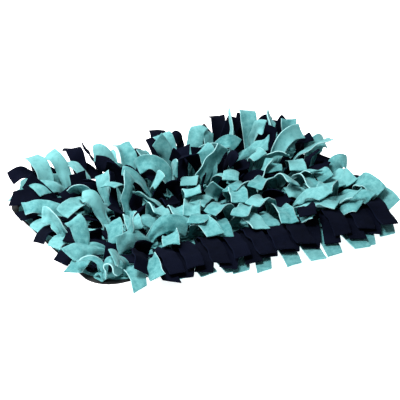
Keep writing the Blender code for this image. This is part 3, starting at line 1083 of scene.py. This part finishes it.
@dataclass
class FlatSheet:
    """A flat sheet with round corners and an eased rim.

    low and high are the heights of its two faces, and inset is how far its edges lie
    inside the mat's outline.
    """

    layout: Layout
    finish: bpy.types.Material
    name: str
    node: str
    slot: str
    low: float
    high: float
    inset: float
    corner: float
    rim: float
    tone: float = 0.5
    corner_steps: int = 12
    rim_steps: int = 3
    rim_angle: float = 60
    level: float = 0.1 * MM

    @property
    def size(self) -> Vector:
        """The sheet's length, width and thickness."""
        return Vector((
            self.layout.length - 2 * self.inset,
            self.layout.width - 2 * self.inset,
            self.high - self.low,
        ))

    def build(self) -> bpy.types.Object:
        """Makes the sheet: a box with round corners and an eased rim.

        Returns:
            The sheet as one piece, placed and dressed.
        """
        lift = Matrix.Translation((0, 0, (self.low + self.high) / 2))
        bm = bmesh.new()
        bmesh.ops.create_cube(bm, size=1, matrix=lift @ Matrix.Diagonal((*self.size, 1)))
        upright = [edge for edge in bm.edges if self.rise(edge) > self.level]
        self.round_edges(bm, upright, self.corner, self.corner_steps)
        rim = [
            edge
            for edge in bm.edges
            if self.rise(edge) < self.level
            and edge.calc_face_angle(0) > math.radians(self.rim_angle)
        ]
        self.round_edges(bm, rim, self.rim, self.rim_steps)
        self.draw_cloth(bm)
        sheet = mesh_object(self.name, bm)
        sheet.data.materials.append(self.finish)
        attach(sheet, BODY)
        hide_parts(self.node)
        log.info("%s: %d faces", sheet.name, len(sheet.data.polygons))
        return sheet

    def draw_cloth(self, bm: bmesh.types.BMesh) -> None:
        """Marks the sheet's UV, in metres across and along it, and its even tone.

        Args:
            bm: The sheet's bmesh.
        """
        cloth = bm.loops.layers.uv.new(CLOTH_UV)
        tones = bm.verts.layers.float.new(TONE)
        for vert in bm.verts:
            vert[tones] = self.tone
        for face in bm.faces:
            for loop in face.loops:
                loop[cloth].uv = (loop.vert.co.y, loop.vert.co.x)

    @staticmethod
    def rise(edge: bmesh.types.BMEdge) -> float:
        """How much higher one end of an edge is than the other."""
        return abs(edge.verts[0].co.z - edge.verts[1].co.z)

    @staticmethod
    def round_edges(
        bm: bmesh.types.BMesh,
        edges: list[bmesh.types.BMEdge],
        radius: float,
        steps: int,
    ) -> None:
        """Rounds some edges of a mesh.

        Args:
            bm: The mesh.
            edges: The edges.
            radius: The round's radius.
            steps: The faces in each round.
        """
        bmesh.ops.bevel(
            bm,
            geom=edges,
            offset=radius,
            segments=steps,
            profile=0.5,
            affect="EDGES",
            material=-1,
        )

    def declare(self, sheet: bpy.types.Object, tied: list[bpy.types.Object]) -> None:
        """Args:
            sheet: The sheet. Not used.
            tied: The facing and the rows of strips. Not used.
        """


@dataclass
class Base(FlatSheet):
    """The sheet of black rubber that lies on the floor."""

    name: str = "base_sheet"
    node: str = "base"
    slot: str = "base"
    low: float = 0.0
    high: float = 1.9 * MM
    inset: float = 0.0
    corner: float = Layout.corner
    rim: float = 0.8 * MM


@dataclass
class Facing(FlatSheet):
    """The aqua fleece on the base, cut short of its edge and rounder at the corners."""

    name: str = "facing_sheet"
    node: str = "facing"
    slot: str = Colour.AQUA.slot
    low: float = Base.high
    high: float = Layout.thickness
    inset: float = 2 * MM
    corner: float = 62 * MM
    rim: float = 0.4 * MM


def direction(azimuth: float, elevation: float) -> Vector:
    """Points from the mat to a viewer or a light.

    Args:
        azimuth: Degrees round the mat, 0 in front of it and 90 to its right.
        elevation: Degrees above the floor.

    Returns:
        The unit vector.
    """
    round_it, above = math.radians(azimuth), math.radians(elevation)
    return Vector((
        math.sin(round_it) * math.cos(above),
        -math.cos(round_it) * math.cos(above),
        math.sin(above),
    ))


@dataclass(frozen=True)
class SoftBox:
    """A large soft light that looks at the mat's middle."""

    name: str
    azimuth: float
    elevation: float
    distance: float
    size: float
    power: float

    def place(self, target: Vector) -> None:
        """Hangs the light so that it faces the target.

        Args:
            target: The point that it looks at.
        """
        data = bpy.data.lights.new(self.name, "AREA")
        data.shape = "DISK"
        data.size = self.size
        data.energy = self.power
        light = bpy.data.objects.new(self.name, data)
        bpy.context.scene.collection.objects.link(light)
        away = direction(self.azimuth, self.elevation)
        light.location = target + away * self.distance
        light.rotation_euler = away.to_track_quat("Z", "Y").to_euler()


@dataclass
class Studio:
    """A white floor in a white room, lit softly from above, and the camera."""

    target: tuple[float, float, float] = (-5 * MM, -18 * MM, 25 * MM)
    azimuth: float = -27.9
    elevation: float = 24.6
    distance: float = 3.0
    lens: float = 195.2
    sensor: float = 36.0
    floor_size: float = 12.0
    floor_acrylic: str = "#FBFBFB"
    floor_glow: float = 0.78
    room: str = "#FFFFFF"
    room_strength: float = 0.2
    look: str = "Medium High Contrast"
    lights: tuple[SoftBox, ...] = (
        SoftBox("key_above_left", -58, 62, 1.6, 0.5, 28),
        SoftBox("fill_right", 50, 40, 1.8, 1.4, 1),
        SoftBox("rim_behind_left", -150, 42, 1.6, 1.0, 23),
    )

    def build(self) -> None:
        """Sets up the floor, the room's light, the lamps and the camera."""
        self.lay_floor()
        self.light_room()
        for light in self.lights:
            light.place(Vector(self.target))
        self.set_camera()
        bpy.context.scene.view_settings.view_transform = "Standard"
        bpy.context.scene.view_settings.look = self.look
        log.info("studio: %d lights", len(self.lights))

    def lay_floor(self) -> None:
        """Lays a plain white floor of matt acrylic, lit a little from below."""
        bm = bmesh.new()
        bmesh.ops.create_grid(bm, x_segments=1, y_segments=1, size=self.floor_size / 2)
        floor = mesh_object("studio_floor", bm)
        material, _, surface = new_surface("opal_acrylic_floor")
        surface.inputs["Base Color"].default_value = linear(self.floor_acrylic)
        surface.inputs["Emission Color"].default_value = linear(self.floor_acrylic)
        surface.inputs["Emission Strength"].default_value = self.floor_glow
        surface.inputs["Roughness"].default_value = 1.0
        surface.inputs["Specular IOR Level"].default_value = 0.0
        floor.data.materials.append(material)

    def light_room(self) -> None:
        """Makes the room around the floor white."""
        world = bpy.data.worlds.new("white_room")
        world.use_nodes = True
        sky = world.node_tree.nodes["Background"]
        sky.inputs["Color"].default_value = linear(self.room)
        sky.inputs["Strength"].default_value = self.room_strength
        bpy.context.scene.world = world

    def set_camera(self) -> None:
        """Aims the camera at the mat from its front left."""
        data = bpy.data.cameras.new("camera")
        data.lens = self.lens
        data.sensor_width = self.sensor
        camera = bpy.data.objects.new("camera", data)
        bpy.context.scene.collection.objects.link(camera)
        away = direction(self.azimuth, self.elevation)
        camera.location = Vector(self.target) + away * self.distance
        camera.rotation_euler = away.to_track_quat("Z", "Y").to_euler()
        bpy.context.scene.camera = camera


# Light aqua polyester fleece, brushed both sides: chalky where the nap stands up, a deeper
# green-blue where it is brushed flat, and paler along its cut edges, partly in the cut fibre
# and partly as a painted highlight where the edges catch light.
AQUA_FLEECE = Fleece(
    colour=Colour.AQUA,
    lit="#70A9AB",
    deep="#1C666B",
    cut_edge_and_highlight="#BCE0E2",
    nap="#F2FDFF",
    sheen=0.15,
)

# Navy polyester fleece, brushed both sides: near black, with a dusty blue nap.
NAVY_FLEECE = Fleece(
    colour=Colour.NAVY,
    lit="#0D1120",
    deep="#070A13",
    # Its cut edge colour is partly paler cut fibre and partly a painted highlight along the
    # edges.
    cut_edge_and_highlight="#182034",
    nap="#5E77A8",
    sheen=0.012,
    specular=0.06,
)


def main() -> None:
    """Builds the mat's pieces in order and reports each."""
    logging.basicConfig(level=logging.INFO, format="%(name)s: %(message)s")
    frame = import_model()
    layout = Layout()
    Studio().build()
    base = Base(layout, SheetRubber().material())
    base_sheet = base.build()
    finishes = {
        fleece.colour: fleece.material("strips", StripRow.strip_width / 2)
        for fleece in (AQUA_FLEECE, NAVY_FLEECE)
    }
    facing_finish = AQUA_FLEECE.material("facing", layout.width / 2 - Facing.inset)
    facing_sheet = Facing(layout, facing_finish).build()
    rows = []
    for row in range(layout.rows):
        strips = StripRow(layout, row, finishes[layout.colour(row)])
        rows.append(strips.build(frame["nodes"][layout.node(row)]))
    base.declare(base_sheet, [facing_sheet, *rows])


if __name__ == "__main__":
    main()
